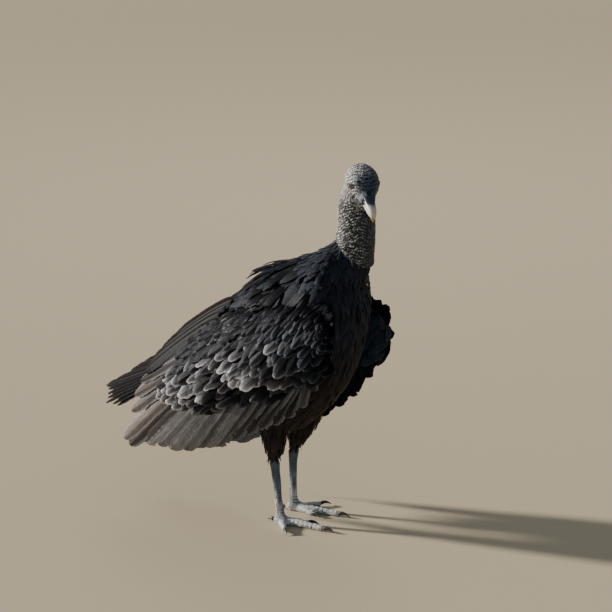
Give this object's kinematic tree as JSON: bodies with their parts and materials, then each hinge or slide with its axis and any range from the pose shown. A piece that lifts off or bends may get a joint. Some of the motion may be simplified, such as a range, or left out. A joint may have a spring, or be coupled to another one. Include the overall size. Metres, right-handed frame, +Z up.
{
  "type": "black vulture",
  "caption": "Life-size standing black vulture with loosely drooped wings, bare wrinkled head turned to its right and pale legs; a still museum-type model.",
  "frame": {"origin": "on the floor, under the middle of the bounding box", "axes": "+X the way the body faces, +Y the left side, +Z up"},
  "size_m": [0.4974, 0.2006, 0.5552],
  "materials": {
    "plumage": "soft feathers, black with a faint brown and blue sheen",
    "flight_feather": "stiff feathers, grey-brown to black with pale shafts",
    "bare_skin": "matt wrinkled grey skin with paler folds",
    "horn": "satin ivory horn, dark at the base",
    "eye": "wet gloss, very dark red-brown",
    "leg_skin": "matt scaly skin, blue-grey with chalky white",
    "claw": "satin dark horn"
  },
  "bodies": {
    "root": {"head": "bare_skin", "bill_upper": "horn", "bill_lower": "horn", "trunk": "plumage", "neck_base": "plumage", "neck": "bare_skin", "tail": "flight_feather", "eye_right": "eye", "thigh_right": "plumage", "shank_right": "leg_skin", "foot_right": "leg_skin", "claw_right_inner": "claw", "claw_right_middle": "claw", "claw_right_outer": "claw", "claw_right_hind": "claw", "wing_coverts_right": "plumage", "wing_flight_right": "flight_feather", "eye_left": "eye", "thigh_left": "plumage", "shank_left": "leg_skin", "foot_left": "leg_skin", "claw_left_inner": "claw", "claw_left_middle": "claw", "claw_left_outer": "claw", "claw_left_hind": "claw", "wing_coverts_left": "plumage", "wing_flight_left": "flight_feather"}
  },
  "joints": []
}
